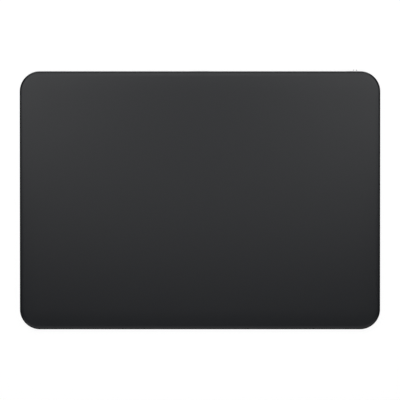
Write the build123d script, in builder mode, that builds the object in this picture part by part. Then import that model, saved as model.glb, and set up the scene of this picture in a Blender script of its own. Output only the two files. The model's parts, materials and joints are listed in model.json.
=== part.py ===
from build123d import *
import os
from math import atan2, cos, degrees, hypot, radians, sin

os.makedirs("parts", exist_ok=True)

# A wedge-shaped desk trackpad. +X is the user's right, +Y the rear, +Z up. The origin is on the
# desk, under the middle of the plan outline. All lengths are in millimetres.

# Outer form, measured from the desk
width = 160.0
depth = 114.9
corner_radius = 8.9
front_height = 4.9
rear_height = 10.9

# Housing, one machined tray
foot_stand = 0.6
floor_thickness = 1.0
wall = 1.8
underside_radius = 2.0
underside_limit_share = 0.8
rim_break = 0.15
ledge_width = 0.8
ledge_depth = 0.5
boss_margin = 0.3
rib_count = 7
rib_gap = 3.0
rib_width = 1.0
rib_height_share = 0.35

# Feet
foot_inset = 16.0
foot_front_inset = 14.5
foot_radius = 5.0
foot_recess = 0.35
foot_bevel = 0.25

# Touch plate, counted down from the top surface
glass_thickness = 1.3
glass_edge_run = 2.0
glass_edge_drop = 0.7
glass_gap = 0.35
adhesive_thickness = 0.1
sensor_thickness = 0.5
sensor_inset = 3.4
stiffener_thickness = 0.5
stiffener_inset = 12.5
stiffener_corner = 4.0
touch_chip_x = 34.0
touch_chip_y = -12.0
touch_chip_size = 8.0
touch_chip_height = 0.9
window_margin = 1.2

# Travels of the moving pieces
press_travel = 0.2
switch_travel = 2.0

# Clearances
fit_gap = 0.05
running_gap = 0.1
overrun = 1.0

# Force sensing at the four corners
gel_thickness = 0.5
gel_size = 7.0
load_pad_thickness = 0.3
load_pad_size = 8.0
flexure_thickness = 0.4
flexure_half_width = 5.0
flexure_reach = 19.0
flexure_tab = 8.0
flexure_notch = 2.4
flexure_wall_gap = 1.2
flexure_floor_gap = 0.3
flexure_screw_pitch = 6.0
gauge_length = 2.4
gauge_width = 3.2
gauge_thickness = 0.1

# Small flat-head screws, one size throughout. They have flats for lightness, the shanks like their holes.
head_sides = 12
shank_sides = 6
screw_radius = 0.7
screw_head_radius = 1.3
screw_head_height = 0.5
screw_grip = 0.75
screw_drive = 0.35
screw_drive_depth = 0.25

# Haptic engine
engine_pad_rise = 0.1
engine_headroom = 0.375
pole_count = 4
pole_pitch = 8.0
pole_width = 4.6
pole_height = 1.35
pole_length = 7.0
winding = 0.5
winding_length = 5.6
coil_gap = 0.075
back_iron_depth = 2.5
base_plate_length = 50.0
base_plate_width = 18.0
base_plate_thickness = 0.4
base_plate_margin = 1.0
base_screw_inset = 2.4
air_gap = 0.3
bar_depth = 2.5
armature_thickness = 0.375
armature_flange = 6.0

# Battery
battery_length = 100.0
battery_engine_gap = 7.0
battery_board_gap = 0.8
battery_headroom = 0.3
battery_corner = 1.5
battery_edge = 0.6
battery_tape = 0.1
battery_tape_width = 9.0
terrace_thickness = 0.3
fence_height = 0.8
fence_thickness = 1.0
fence_gap = 0.5
fence_arm = 8.0
guard_board_length = 26.0
guard_board_width = 2.6
guard_x_share = 0.58

# Main circuit board and its parts
board_side_gap = 4.1
board_width = 15.6
board_thickness = 0.8
board_wall_gap = 0.6
standoff_size = 4.0
standoff_inset = 2.6
can_inset = 6.0
can_socket_gap = 4.5
can_width = 10.4
can_height = 1.8
can_wall = 0.2
can_hole_radius = 0.45
can_hole_pitch = 2.0
can_hole_columns = 4
can_hole_rows = 2
chip_height = 0.9
inductor_gap = 3.0
inductor_height = 1.5
inductor_count = 3
inductor_room_share = 0.72
connector_depth = 2.0
connector_height = 0.9
connector_margin = 0.6

# Charging socket, the common 24-contact size
socket_width = 8.94
socket_height = 3.16
socket_wall = 0.3
socket_length = 7.3
socket_setback = 0.35
socket_z = 4.95
tongue_width = 6.7
tongue_thickness = 0.7
tongue_setback = 0.6
tongue_base = 2.0
contact_count = 12
contact_pitch = 0.5
contact_width = 0.25
contact_thickness = 0.05
contact_length = 3.4
opening_break = 0.2

# Power switch in the rear wall
knob_length = 4.6
knob_height = 2.9
knob_setback = 0.2
ridge_pitch = 1.36
ridge_thickness = 0.55
ridge_height = 1.9
ridge_proud = 0.9
ridge_bevel = 0.12
stem_size = 1.6
stem_reach = 0.5
stem_wall = 0.35
lever_length = 0.8
backing_length = 9.6
backing_height = 5.0
backing_thickness = 0.6
marker_thickness = 0.1
switch_case_end = 0.9
switch_case_depth = 3.6
switch_case_height = 3.4
switch_case_wall = 0.4
shuttle_length = 3.0
shuttle_gap = 0.1
switch_board_length = 13.0
switch_board_width = 6.4
switch_board_thickness = 0.6

# Radio antenna under the rear left of the glass
antenna_length = 24.0
antenna_width = 4.0
antenna_foil = 0.1
antenna_margin = 0.5
antenna_clearance = 0.9
antenna_tail = 1.6
antenna_lead_radius = 0.4
antenna_lead_lap = 3.0

# Flat cables
cable_thickness = 0.12
cable_width = 5.0
cable_bend = 0.6
cable_lap = 2.5
channel_depth = 0.3
channel_gap = 0.6

# The touch surface is a plane tilted about X, higher at the rear.
rise = rear_height - front_height
slope = degrees(atan2(rise, depth))
sloped_depth = hypot(rise, depth)
touch_plane = Plane.XY.offset((front_height + rear_height) / 2).rotated((slope, 0, 0))


def below(distance):
    """The plane parallel to the touch surface, that distance under it."""
    return touch_plane.offset(-distance)


def height_below(distance, y):
    """Height above the desk, at a place along Y, of the plane that lies that far under the surface."""
    return front_height + rise * (y / depth + 1 / 2) - distance / cos(radians(slope))


def place_where(height, distance):
    """Place along Y where the plane that far under the surface is at a height above the desk."""
    return depth * ((height + distance / cos(radians(slope)) - front_height) / rise - 1 / 2)


def save(piece, name):
    """Label a finished piece and write it to its own file."""
    piece.part.label = name
    export_step(piece.part, f"parts/{name}.step")


# Levels under the touch surface, from the glass down
sensor_top = glass_thickness + adhesive_thickness
sensor_bottom = sensor_top + sensor_thickness
stiffener_bottom = sensor_bottom + stiffener_thickness
gel_bottom = stiffener_bottom + gel_thickness
flexure_top = gel_bottom + load_pad_thickness
flexure_bottom = flexure_top + flexure_thickness
coil_top = sensor_bottom + engine_headroom
pole_top = coil_top + winding
pole_bottom = pole_top + pole_height
base_plate_top = pole_bottom + winding + coil_gap
base_plate_bottom = base_plate_top + base_plate_thickness
bar_top = stiffener_bottom + armature_thickness
rim_plane = below(glass_thickness + glass_gap)

# Levels above the desk
floor_top = foot_stand + floor_thickness
board_top = socket_z - socket_height / 2
board_bottom = board_top - board_thickness
switch_board_top = socket_z - switch_case_height / 2
switch_board_bottom = switch_board_top - switch_board_thickness

# Places from the rear wall forward
inner_rear = depth / 2 - wall
flat_end = width / 2 - corner_radius
antenna_y = inner_rear - board_wall_gap - antenna_width / 2
stiffener_half_depth = inner_rear - board_wall_gap - antenna_width - antenna_clearance
board_y = inner_rear - board_wall_gap - board_width / 2
board_front = board_y - board_width / 2
battery_rear = board_front - battery_board_gap - guard_board_width
switch_board_y = inner_rear - backing_thickness - running_gap - switch_board_width / 2

# The wedge is shallowest in front, so each piece there stands as far forward as its height allows.
load_y = -place_where(floor_top + flexure_floor_gap, flexure_bottom) - flexure_half_width
engine_front = place_where(floor_top + engine_pad_rise, base_plate_bottom)
engine_rear = engine_front + base_plate_width
engine_y = (engine_front + engine_rear) / 2
iron_front = engine_front + base_plate_margin
pole_root = iron_front + back_iron_depth
bar_front = pole_root + pole_length + air_gap
battery_front = engine_rear + battery_engine_gap
battery_bottom = floor_top + battery_tape
battery_top = height_below(stiffener_bottom, battery_front) - press_travel - battery_headroom

# Places across
tab_x = width / 2 - wall - flexure_wall_gap - flexure_tab / 2
load_x = tab_x + flexure_tab / 2 - flexure_reach
neck_x = tab_x - flexure_tab / 2 - flexure_notch
knob_x = flat_end - knob_length / 2
slot_x = knob_x - switch_travel / 2
stem_x = knob_x + switch_travel / 2
foot_x = width / 2 - foot_inset
foot_y = depth / 2 - foot_front_inset
antenna_x = antenna_length / 2 - flat_end
board_end = flat_end - antenna_length - board_side_gap
guard_x = guard_x_share * board_end

corners = {"front_left": (-1, -1), "front_right": (1, -1), "rear_left": (-1, 1), "rear_right": (1, 1)}


def at_corners(x, y):
    """The four mirrored places of a point."""
    return [(side * x, end * y) for side, end in corners.values()]


def screw_holes(seat, places):
    """Holes for screws, sunk square into the plane that the held piece lies on."""
    with BuildSketch(seat) as holes:
        with Locations(*places):
            RegularPolygon(screw_radius, shank_sides)
    with BuildPart() as drilled:
        extrude(to_extrude=holes.sketch, amount=-(screw_grip + fit_gap))
    return drilled.part


# Bosses under the force sensors and the haptic engine, with tops parallel to the glass
with BuildPart() as sensor_bosses:
    with BuildSketch(Plane.XY.offset(floor_top)):
        with Locations(*at_corners(tab_x, load_y)):
            Rectangle(flexure_tab + 2 * boss_margin, 2 * (flexure_half_width + boss_margin))
    extrude(amount=rear_height)
    split(bisect_by=below(flexure_bottom), keep=Keep.BOTTOM)

with BuildPart() as engine_pad:
    with BuildSketch(Plane.XY.offset(floor_top)):
        with Locations((0, engine_y)):
            Rectangle(base_plate_length + 2 * boss_margin, base_plate_width + 2 * boss_margin)
    extrude(amount=rear_height)
    split(bisect_by=below(base_plate_bottom), keep=Keep.BOTTOM)

# Screw places. Each list is in the plane that its screws stand on.
flexure_screws_at = [
    (x, y + across * flexure_screw_pitch / 2) for x, y in at_corners(tab_x, load_y) for across in (-1, 1)
]
base_screw_x = base_plate_length / 2 - base_screw_inset
base_screw_y = base_plate_width / 2 - base_screw_inset
base_screws_at = [(x, engine_y + y) for x, y in at_corners(base_screw_x, base_screw_y)]
board_screws_at = [(side * (board_end - standoff_inset), board_front + standoff_inset) for side in (-1, 1)]

# Sizes of the switch, which its board and standoffs follow
slot_length = knob_length + switch_travel + 2 * running_gap
slot_height = knob_height + 2 * running_gap
slit_length = stem_size + switch_travel + 2 * running_gap
room_length = shuttle_length + switch_travel + 2 * shuttle_gap
switch_case_length = room_length + 2 * switch_case_end
switch_board_x = knob_x + switch_case_length / 2 - switch_board_length / 2
switch_screw_at = (switch_board_x - (switch_board_length - standoff_size) / 2, switch_board_y)
switch_rest_at = (switch_board_x + (switch_board_length - standoff_size) / 2, switch_board_y)

# Housing: the outline is extruded, cut off parallel to the glass, and hollowed into a tray
rear_face = Plane.XZ.offset(-depth / 2)
with BuildPart() as housing:
    with BuildSketch(Plane.XY.offset(foot_stand)):
        RectangleRounded(width, depth, corner_radius)
    extrude(amount=rear_height)
    split(bisect_by=rim_plane, keep=Keep.BOTTOM)
    chamfer(housing.faces().sort_by(Axis.Z)[-1].edges(), rim_break)
    front_wall_height = height_below(glass_thickness + glass_gap, -depth / 2) - foot_stand
    underside_edges = housing.faces().sort_by(Axis.Z)[0].edges()
    fillet(underside_edges, min(underside_radius, underside_limit_share * front_wall_height))
    with BuildSketch(Plane.XY.offset(floor_top)):
        RectangleRounded(width - 2 * wall, depth - 2 * wall, corner_radius - wall)
    extrude(amount=rear_height, mode=Mode.SUBTRACT)
    # Ledge round the rim, on which the dust gasket lies
    lip = wall - ledge_width
    with BuildSketch(rim_plane.offset(-ledge_depth)):
        RectangleRounded(width - 2 * lip, sloped_depth - 2 * lip, corner_radius - lip)
    extrude(amount=ledge_depth + overrun, mode=Mode.SUBTRACT)
    # Bosses, each drilled square to its top
    add(sensor_bosses.part)
    add(engine_pad.part)
    add(screw_holes(below(flexure_bottom), flexure_screws_at), mode=Mode.SUBTRACT)
    add(screw_holes(below(base_plate_bottom), base_screws_at), mode=Mode.SUBTRACT)
    # Standoffs under the two circuit boards
    with BuildSketch(Plane.XY.offset(floor_top)):
        with Locations(*board_screws_at):
            Rectangle(standoff_size, standoff_size)
    extrude(amount=board_bottom - floor_top)
    with BuildSketch(Plane.XY.offset(floor_top)):
        with Locations(switch_screw_at, switch_rest_at):
            Rectangle(standoff_size, standoff_size)
    extrude(amount=switch_board_bottom - floor_top)
    add(screw_holes(Plane.XY.offset(board_bottom), board_screws_at), mode=Mode.SUBTRACT)
    add(screw_holes(Plane.XY.offset(switch_board_bottom), [switch_screw_at]), mode=Mode.SUBTRACT)
    # Fences at the four corners of the battery
    fence_length = battery_length + 2 * fence_gap
    fence_width = battery_rear - battery_front + 2 * fence_gap
    with BuildSketch(Plane.XY.offset(floor_top)):
        with Locations((0, (battery_front + battery_rear) / 2)):
            Rectangle(fence_length + 2 * fence_thickness, fence_width + 2 * fence_thickness)
            Rectangle(fence_length, fence_width, mode=Mode.SUBTRACT)
            Rectangle(fence_length - 2 * fence_arm, 2 * fence_width, mode=Mode.SUBTRACT)
            Rectangle(2 * fence_length, fence_width - 2 * fence_arm, mode=Mode.SUBTRACT)
    extrude(amount=fence_height)
    # Ribs that stiffen the shallow front of the floor, between the front wall and the haptic engine
    rib_front = rib_gap - inner_rear
    rib_length = engine_front - rib_gap - rib_front
    rib_pitch = 2 * (load_x - flexure_half_width - 2 * rib_gap) / (rib_count - 1)
    rib_room = height_below(sensor_bottom, rib_front) - press_travel - floor_top
    with BuildSketch(Plane.XY.offset(floor_top)):
        with Locations((0, rib_front + rib_length / 2)):
            with GridLocations(rib_pitch, 0, rib_count, 1):
                Rectangle(rib_width, rib_length)
    extrude(amount=rib_height_share * rib_room)
    # Channel that takes the haptic engine's cable under the battery
    channel_front = engine_rear + boss_margin
    with BuildSketch(Plane.XY.offset(floor_top)):
        with Locations((0, (channel_front + board_front) / 2)):
            Rectangle(cable_width + channel_gap, board_front - channel_front)
    extrude(amount=-channel_depth, mode=Mode.SUBTRACT)
    # Openings for the charging socket and the switch knob, their outer edges broken
    opening_width = socket_width + 2 * running_gap
    opening_height = socket_height + 2 * running_gap
    with BuildSketch(rear_face):
        with Locations((0, socket_z)):
            SlotOverall(opening_width, opening_height)
        with Locations((slot_x, socket_z)):
            SlotOverall(slot_length, slot_height)
    extrude(amount=wall + overrun, mode=Mode.SUBTRACT)
    with BuildSketch(rear_face):
        with Locations((0, socket_z)):
            SlotOverall(opening_width + 2 * opening_break, opening_height + 2 * opening_break)
        with Locations((slot_x, socket_z)):
            SlotOverall(slot_length + 2 * opening_break, slot_height + 2 * opening_break)
    extrude(amount=opening_break, taper=45, mode=Mode.SUBTRACT)
    # Round seats for the feet
    with BuildSketch(Plane.XY.offset(foot_stand)):
        with Locations(*at_corners(foot_x, foot_y)):
            Circle(foot_radius + fit_gap)
    extrude(amount=foot_recess, mode=Mode.SUBTRACT)
save(housing, "housing")

# Feet
for corner, (side, end) in corners.items():
    with BuildPart() as foot:
        with BuildSketch():
            with Locations((side * foot_x, end * foot_y)):
                Circle(foot_radius)
        extrude(amount=foot_stand + foot_recess)
        chamfer(foot.faces().sort_by(Axis.Z)[0].edges(), foot_bevel)
    save(foot, f"foot_{corner}")

# Dust gasket, from the ledge up to the underside of the glass
gasket_outset = lip + fit_gap
gasket_inset = wall - fit_gap
with BuildPart() as dust_gasket:
    with BuildSketch(rim_plane.offset(-ledge_depth)):
        RectangleRounded(
            width - 2 * gasket_outset, sloped_depth - 2 * gasket_outset, corner_radius - gasket_outset
        )
        RectangleRounded(
            width - 2 * gasket_inset,
            sloped_depth - 2 * gasket_inset,
            corner_radius - gasket_inset,
            mode=Mode.SUBTRACT,
        )
    extrude(amount=ledge_depth + glass_gap)
save(dust_gasket, "dust_gasket")

# Touch glass. Its top edge rolls down along a quarter ellipse, cut by one sweep round the outline.
with BuildPart() as touch_glass:
    with BuildSketch(below(glass_thickness)):
        RectangleRounded(width, sloped_depth, corner_radius)
    extrude(amount=glass_thickness)
    outline = touch_glass.faces().sort_by(Axis(touch_plane.origin, touch_plane.z_dir))[-1].outer_wire()
    start = outline @ 0
    outward = (outline % 0).cross(touch_plane.z_dir)
    if outward.dot(start - touch_plane.origin) < 0:
        outward = outward * -1
    with BuildSketch(Plane(origin=start, x_dir=outward, z_dir=outward.cross(touch_plane.z_dir))):
        with BuildLine():
            roll = EllipticalCenterArc((-glass_edge_run, -glass_edge_drop), glass_edge_run, glass_edge_drop)
            Polyline(
                roll @ 0,
                (overrun, -glass_edge_drop),
                (overrun, overrun),
                (-glass_edge_run, overrun),
                roll @ 1,
            )
        make_face()
    sweep(path=outline, mode=Mode.SUBTRACT)
save(touch_glass, "touch_glass")

# Adhesive film and touch sensor board, both notched where the antenna looks up through the glass
with BuildSketch(below(sensor_bottom)) as sensor_outline:
    RectangleRounded(width - 2 * sensor_inset, sloped_depth - 2 * sensor_inset, corner_radius - sensor_inset)
    with Locations((antenna_x, inner_rear)):
        Rectangle(
            antenna_length + 2 * antenna_clearance,
            2 * (board_wall_gap + antenna_width + antenna_clearance),
            mode=Mode.SUBTRACT,
        )

with BuildPart() as sensor_board:
    extrude(to_extrude=sensor_outline.sketch, amount=sensor_thickness)
save(sensor_board, "sensor_board")

with BuildPart() as glass_adhesive:
    extrude(to_extrude=sensor_outline.sketch, amount=sensor_thickness + adhesive_thickness)
    split(bisect_by=below(sensor_top), keep=Keep.TOP)
save(glass_adhesive, "glass_adhesive")

# Steel stiffener under the sensor board, with a window over the coils and two for the touch chips
touch_chips_at = [(-touch_chip_x, touch_chip_y), (touch_chip_x, touch_chip_y)]
with BuildPart() as stiffener_plate:
    with BuildSketch(below(stiffener_bottom)):
        RectangleRounded(width - 2 * stiffener_inset, 2 * stiffener_half_depth, stiffener_corner)
        with Locations((0, pole_root + pole_length / 2)):
            Rectangle(pole_count * pole_pitch + 2 * window_margin, pole_length, mode=Mode.SUBTRACT)
        with Locations(*touch_chips_at):
            window_size = touch_chip_size + 2 * window_margin
            Rectangle(window_size, window_size, mode=Mode.SUBTRACT)
    extrude(amount=stiffener_thickness)
save(stiffener_plate, "stiffener_plate")

with BuildPart() as touch_chips:
    with BuildSketch(below(sensor_bottom + touch_chip_height)):
        with Locations(*touch_chips_at):
            Rectangle(touch_chip_size, touch_chip_size)
    extrude(amount=touch_chip_height)
save(touch_chips, "touch_chips")

# Force sensing. A notched leaf spring, clamped at its outer tab, holds up each corner of the plate.
for corner, (side, end) in corners.items():
    load_at = (side * load_x, end * load_y)
    with BuildPart() as flexure:
        with BuildSketch(below(flexure_bottom)):
            with Locations((side * (load_x + (flexure_reach - flexure_half_width) / 2), end * load_y)):
                Rectangle(flexure_reach + flexure_half_width, 2 * flexure_half_width)
            with Locations((side * neck_x, end * load_y)):
                with GridLocations(0, 2 * flexure_half_width, 1, 2):
                    Circle(flexure_notch, mode=Mode.SUBTRACT)
            with Locations((side * tab_x, end * load_y)):
                with GridLocations(0, flexure_screw_pitch, 1, 2):
                    RegularPolygon(screw_radius + fit_gap, shank_sides, mode=Mode.SUBTRACT)
        extrude(amount=flexure_thickness)
    save(flexure, f"flexure_{corner}")

    with BuildPart() as strain_gauge:
        with BuildSketch(below(flexure_top)):
            with Locations((side * neck_x, end * load_y)):
                Rectangle(gauge_length, gauge_width)
        extrude(amount=gauge_thickness)
    save(strain_gauge, f"strain_gauge_{corner}")

    with BuildPart() as load_pad:
        with BuildSketch(below(flexure_top)):
            with Locations(load_at):
                Rectangle(load_pad_size, load_pad_size)
        extrude(amount=load_pad_thickness)
    save(load_pad, f"load_pad_{corner}")

    with BuildPart() as gel_pad:
        with BuildSketch(below(gel_bottom)):
            with Locations(load_at):
                Rectangle(gel_size, gel_size)
        extrude(amount=gel_thickness)
    save(gel_pad, f"gel_pad_{corner}")


def save_screws(name, seat, places, held):
    """Flat-head screws that stand on a plane and reach down through what they hold, by its thickness."""
    with BuildPart() as screws:
        with BuildSketch(seat):
            with Locations(*places):
                RegularPolygon(screw_head_radius, head_sides)
        extrude(amount=screw_head_height)
        with BuildSketch(seat):
            with Locations(*places):
                RegularPolygon(screw_radius - fit_gap, shank_sides)
        extrude(amount=-(held + screw_grip))
        with BuildSketch(seat.offset(screw_head_height)):
            with Locations(*places):
                RegularPolygon(screw_drive, 6)
        extrude(amount=-screw_drive_depth, mode=Mode.SUBTRACT)
    save(screws, name)


save_screws("flexure_screws", below(flexure_top), flexure_screws_at, flexure_thickness)

# Haptic engine: a comb of iron with a coil on each pole pulls a bar that hangs from the touch plate
poles_x = [(index - (pole_count - 1) / 2) * pole_pitch for index in range(pole_count)]
poles_at = [(x, pole_root + pole_length / 2) for x in poles_x]
with BuildPart() as haptic_base_plate:
    with BuildSketch(below(base_plate_bottom)) as plate_outline:
        with Locations((0, engine_y)):
            Rectangle(base_plate_length, base_plate_width)
        chamfer(plate_outline.vertices(), base_plate_margin)
        with Locations(*base_screws_at):
            RegularPolygon(screw_radius + fit_gap, shank_sides, mode=Mode.SUBTRACT)
    extrude(amount=base_plate_thickness)
save(haptic_base_plate, "haptic_base_plate")

with BuildPart() as haptic_core:
    with BuildSketch(below(base_plate_top)):
        with Locations((0, iron_front + back_iron_depth / 2)):
            Rectangle(pole_count * pole_pitch, back_iron_depth)
    extrude(amount=base_plate_top - pole_top)
    with BuildSketch(below(pole_bottom)):
        with Locations(*poles_at):
            Rectangle(pole_width, pole_length)
    extrude(amount=pole_height)
save(haptic_core, "haptic_core")

with BuildPart() as haptic_coils:
    coil_bore = pole_width + 2 * fit_gap
    with BuildSketch(below(pole_bottom + winding)):
        with Locations(*poles_at):
            Rectangle(coil_bore + 2 * winding, winding_length)
    extrude(amount=pole_height + 2 * winding)
    chamfer(haptic_coils.edges().filter_by(Axis((0, 0, 0), touch_plane.y_dir)), winding / 2)
    with BuildSketch(below(pole_bottom)):
        with Locations(*poles_at):
            Rectangle(coil_bore, pole_length)
    extrude(amount=pole_height, mode=Mode.SUBTRACT)
save(haptic_coils, "haptic_coils")
save_screws("haptic_screws", below(base_plate_top), base_screws_at, base_plate_thickness)

with BuildPart() as armature_bracket:
    with BuildSketch(below(bar_top)):
        with Locations((0, bar_front + (bar_depth + armature_flange) / 2)):
            Rectangle(pole_count * pole_pitch, bar_depth + armature_flange)
    extrude(amount=armature_thickness)
save(armature_bracket, "armature_bracket")

with BuildPart() as attraction_bar:
    with BuildSketch(below(bar_top + pole_height)):
        with Locations((0, bar_front + bar_depth / 2)):
            Rectangle(pole_count * pole_pitch, bar_depth)
    extrude(amount=pole_height)
save(attraction_bar, "attraction_bar")

# Battery pouch on two tapes. Its sealed terrace carries the guard board along the rear.
battery_y = (battery_front + battery_rear) / 2
battery_width = battery_rear - battery_front
with BuildPart() as battery_tapes:
    with BuildSketch(Plane.XY.offset(floor_top)):
        with Locations((-battery_length / 4, battery_y), (battery_length / 4, battery_y)):
            Rectangle(battery_tape_width, battery_width - 2 * battery_corner)
    extrude(amount=battery_tape)
save(battery_tapes, "battery_tapes")

with BuildPart() as battery_cell:
    with BuildSketch(Plane.XY.offset(battery_bottom)) as cell_outline:
        with Locations((0, battery_y)):
            Rectangle(battery_length, battery_width)
        chamfer(cell_outline.vertices(), battery_corner)
    extrude(amount=battery_top - battery_bottom)
    chamfer(battery_cell.faces().sort_by(Axis.Z)[-1].edges(), battery_edge)
    with BuildSketch(Plane.XY.offset(board_bottom)):
        with Locations((guard_x, battery_rear)):
            Rectangle(guard_board_length, 2 * guard_board_width)
    extrude(amount=-terrace_thickness)
save(battery_cell, "battery_cell")

with BuildPart() as battery_guard_board:
    with BuildSketch(Plane.XY.offset(board_bottom)):
        with Locations((guard_x, battery_rear + guard_board_width / 2)):
            Rectangle(guard_board_length, guard_board_width)
    extrude(amount=board_thickness)
save(battery_guard_board, "battery_guard_board")

# Main circuit board
with BuildPart() as logic_board:
    with BuildSketch(Plane.XY.offset(board_bottom)):
        with Locations((0, board_y)):
            Rectangle(2 * board_end, board_width)
        with Locations(*board_screws_at):
            RegularPolygon(screw_radius + fit_gap, shank_sides, mode=Mode.SUBTRACT)
    extrude(amount=board_thickness)
save(logic_board, "logic_board")
save_screws("board_screws", Plane.XY.offset(board_top), board_screws_at, board_thickness)

# Chips under the shielding can. The shares are of the can: place along, place across, length, width.
chip_shares = [(-0.3, 0.0, 0.24, 0.66), (0.02, 0.1, 0.18, 0.48), (0.3, -0.12, 0.14, 0.52)]
can_left = can_inset - board_end
can_right = -socket_width / 2 - can_socket_gap
can_length = can_right - can_left
can_x = (can_left + can_right) / 2
with BuildPart() as radio_chips:
    with BuildSketch(Plane.XY.offset(board_top)):
        for along, across, length, breadth in chip_shares:
            with Locations((can_x + along * can_length, board_y + across * can_width)):
                Rectangle(length * can_length, breadth * can_width)
    extrude(amount=chip_height)
save(radio_chips, "radio_chips")

with BuildPart() as shield_can:
    with BuildSketch(Plane.XY.offset(board_top)):
        with Locations((can_x, board_y)):
            Rectangle(can_length, can_width)
    extrude(amount=can_height)
    with BuildSketch(Plane.XY.offset(board_top)):
        with Locations((can_x, board_y)):
            Rectangle(can_length - 2 * can_wall, can_width - 2 * can_wall)
    extrude(amount=can_height - can_wall, mode=Mode.SUBTRACT)
    with BuildSketch(Plane.XY.offset(board_top)):
        with Locations((can_x, board_y)):
            with GridLocations(can_hole_pitch, can_hole_pitch, can_hole_columns, can_hole_rows):
                RegularPolygon(can_hole_radius, 6)
    extrude(amount=can_height, mode=Mode.SUBTRACT)
save(shield_can, "shield_can")

# Inductors in a row between the socket and the touch cable's connector
touch_cable_x = board_end - standoff_inset - cable_width - screw_head_radius
inductors_left = socket_width / 2 + inductor_gap
inductor_room = touch_cable_x - (cable_width + connector_margin) / 2 - inductor_gap - inductors_left
inductor_size = inductor_room_share * inductor_room / (2 * inductor_count - 1)
with BuildPart() as power_inductors:
    with BuildSketch(Plane.XY.offset(board_top)):
        with Locations((inductors_left + inductor_room / 2, board_y)):
            with GridLocations(2 * inductor_size, 0, inductor_count, 1):
                Rectangle(inductor_size, inductor_size)
    extrude(amount=inductor_height)
save(power_inductors, "power_inductors")

# Charging socket: shell, tongue and contacts
socket_mouth = depth / 2 - socket_setback
socket_floor = socket_mouth - socket_length + socket_wall
bore_width = socket_width - 2 * socket_wall
bore_height = socket_height - 2 * socket_wall
with BuildPart() as socket_shell:
    with BuildSketch(Plane.XZ.offset(-socket_mouth)):
        with Locations((0, socket_z)):
            SlotOverall(socket_width, socket_height)
    extrude(amount=socket_length)
    with BuildSketch(Plane.XZ.offset(-socket_mouth)):
        with Locations((0, socket_z)):
            SlotOverall(bore_width, bore_height)
    extrude(amount=socket_length - socket_wall, mode=Mode.SUBTRACT)
save(socket_shell, "socket_shell")

tongue_tip = socket_mouth - tongue_setback
with BuildPart() as socket_tongue:
    with BuildSketch(Plane.XZ.offset(-socket_floor)):
        with Locations((0, socket_z)):
            SlotOverall(bore_width - 2 * fit_gap, bore_height - 2 * fit_gap)
    extrude(amount=-tongue_base)
    with BuildSketch(Plane.XZ.offset(-socket_floor)):
        with Locations((0, socket_z)):
            Rectangle(tongue_width, tongue_thickness)
    extrude(amount=-(tongue_tip - socket_floor))
    fillet(socket_tongue.faces().sort_by(Axis.Y)[-1].edges().filter_by(Axis.Z), tongue_thickness / 2)
save(socket_tongue, "socket_tongue")

with BuildPart() as socket_contacts:
    for face in (-1, 1):
        contact_z = socket_z + face * (tongue_thickness + contact_thickness) / 2
        with Locations((0, socket_floor + tongue_base + contact_length / 2, contact_z)):
            with GridLocations(contact_pitch, 0, contact_count, 1):
                Box(contact_width, contact_length, contact_thickness)
save(socket_contacts, "socket_contacts")

# Power switch, at rest in its on position, with the green marker in view beside the knob
inner_rear_face = Plane.XZ.offset(-inner_rear)
with BuildPart() as switch_backing:
    with BuildSketch(inner_rear_face):
        with Locations((flat_end - backing_length / 2, socket_z)):
            Rectangle(backing_length, backing_height)
        with Locations((knob_x, socket_z)):
            Rectangle(slit_length, stem_size + 2 * running_gap, mode=Mode.SUBTRACT)
    extrude(amount=backing_thickness)
save(switch_backing, "switch_backing")

with BuildPart() as switch_marker:
    marker_end = knob_x - slit_length / 2 - fit_gap
    with BuildSketch(inner_rear_face):
        with Locations((slot_x, socket_z)):
            SlotOverall(slot_length - 2 * fit_gap, slot_height - 2 * fit_gap)
        with Locations((marker_end - slot_length / 2, socket_z)):
            Rectangle(slot_length, slot_height, mode=Mode.INTERSECT)
    extrude(amount=-marker_thickness)
save(switch_marker, "switch_marker")

knob_back = inner_rear + marker_thickness + running_gap
knob_front = depth / 2 - knob_setback
stem_end = inner_rear - backing_thickness - stem_reach
lever_size = stem_size - 2 * stem_wall - 2 * fit_gap
with BuildPart() as switch_knob:
    with BuildSketch(Plane.XZ.offset(-knob_back)):
        with Locations((knob_x, socket_z)):
            SlotOverall(knob_length, knob_height)
    extrude(amount=-(knob_front - knob_back))
    # Two upright ridges for the fingertip
    with BuildSketch(Plane.XZ.offset(-knob_front)):
        with Locations((knob_x, socket_z)):
            with GridLocations(ridge_pitch, 0, 2, 1):
                Rectangle(ridge_thickness, ridge_height)
    extrude(amount=-ridge_proud)
    chamfer(switch_knob.faces().sort_by(Axis.Y)[-2:].edges(), ridge_bevel)
    # Stem through the backing, with a pocket for the lever of the switch
    with BuildSketch(Plane.XZ.offset(-knob_back)):
        with Locations((stem_x, socket_z)):
            Rectangle(stem_size, stem_size)
    extrude(amount=knob_back - stem_end)
    with BuildSketch(Plane.XZ.offset(-stem_end)):
        with Locations((stem_x, socket_z)):
            Rectangle(lever_size + 2 * fit_gap, lever_size + 2 * fit_gap)
    extrude(amount=-(lever_length + fit_gap), mode=Mode.SUBTRACT)
save(switch_knob, "switch_knob")

case_rear = stem_end - running_gap
case_plane = Plane.XZ.offset(-case_rear)
room_height = switch_case_height - 2 * switch_case_wall
room_depth = switch_case_depth - 2 * switch_case_wall
with BuildPart() as switch_case:
    with BuildSketch(case_plane):
        with Locations((knob_x, socket_z)):
            Rectangle(switch_case_length, switch_case_height)
    extrude(amount=switch_case_depth)
    with BuildSketch(case_plane.offset(switch_case_wall)):
        with Locations((knob_x, socket_z)):
            Rectangle(room_length, room_height)
    extrude(amount=room_depth, mode=Mode.SUBTRACT)
    with BuildSketch(case_plane):
        with Locations((knob_x, socket_z)):
            Rectangle(lever_size + switch_travel + 2 * shuttle_gap, lever_size + 2 * shuttle_gap)
    extrude(amount=switch_case_wall + shuttle_gap, mode=Mode.SUBTRACT)
save(switch_case, "switch_case")

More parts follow.
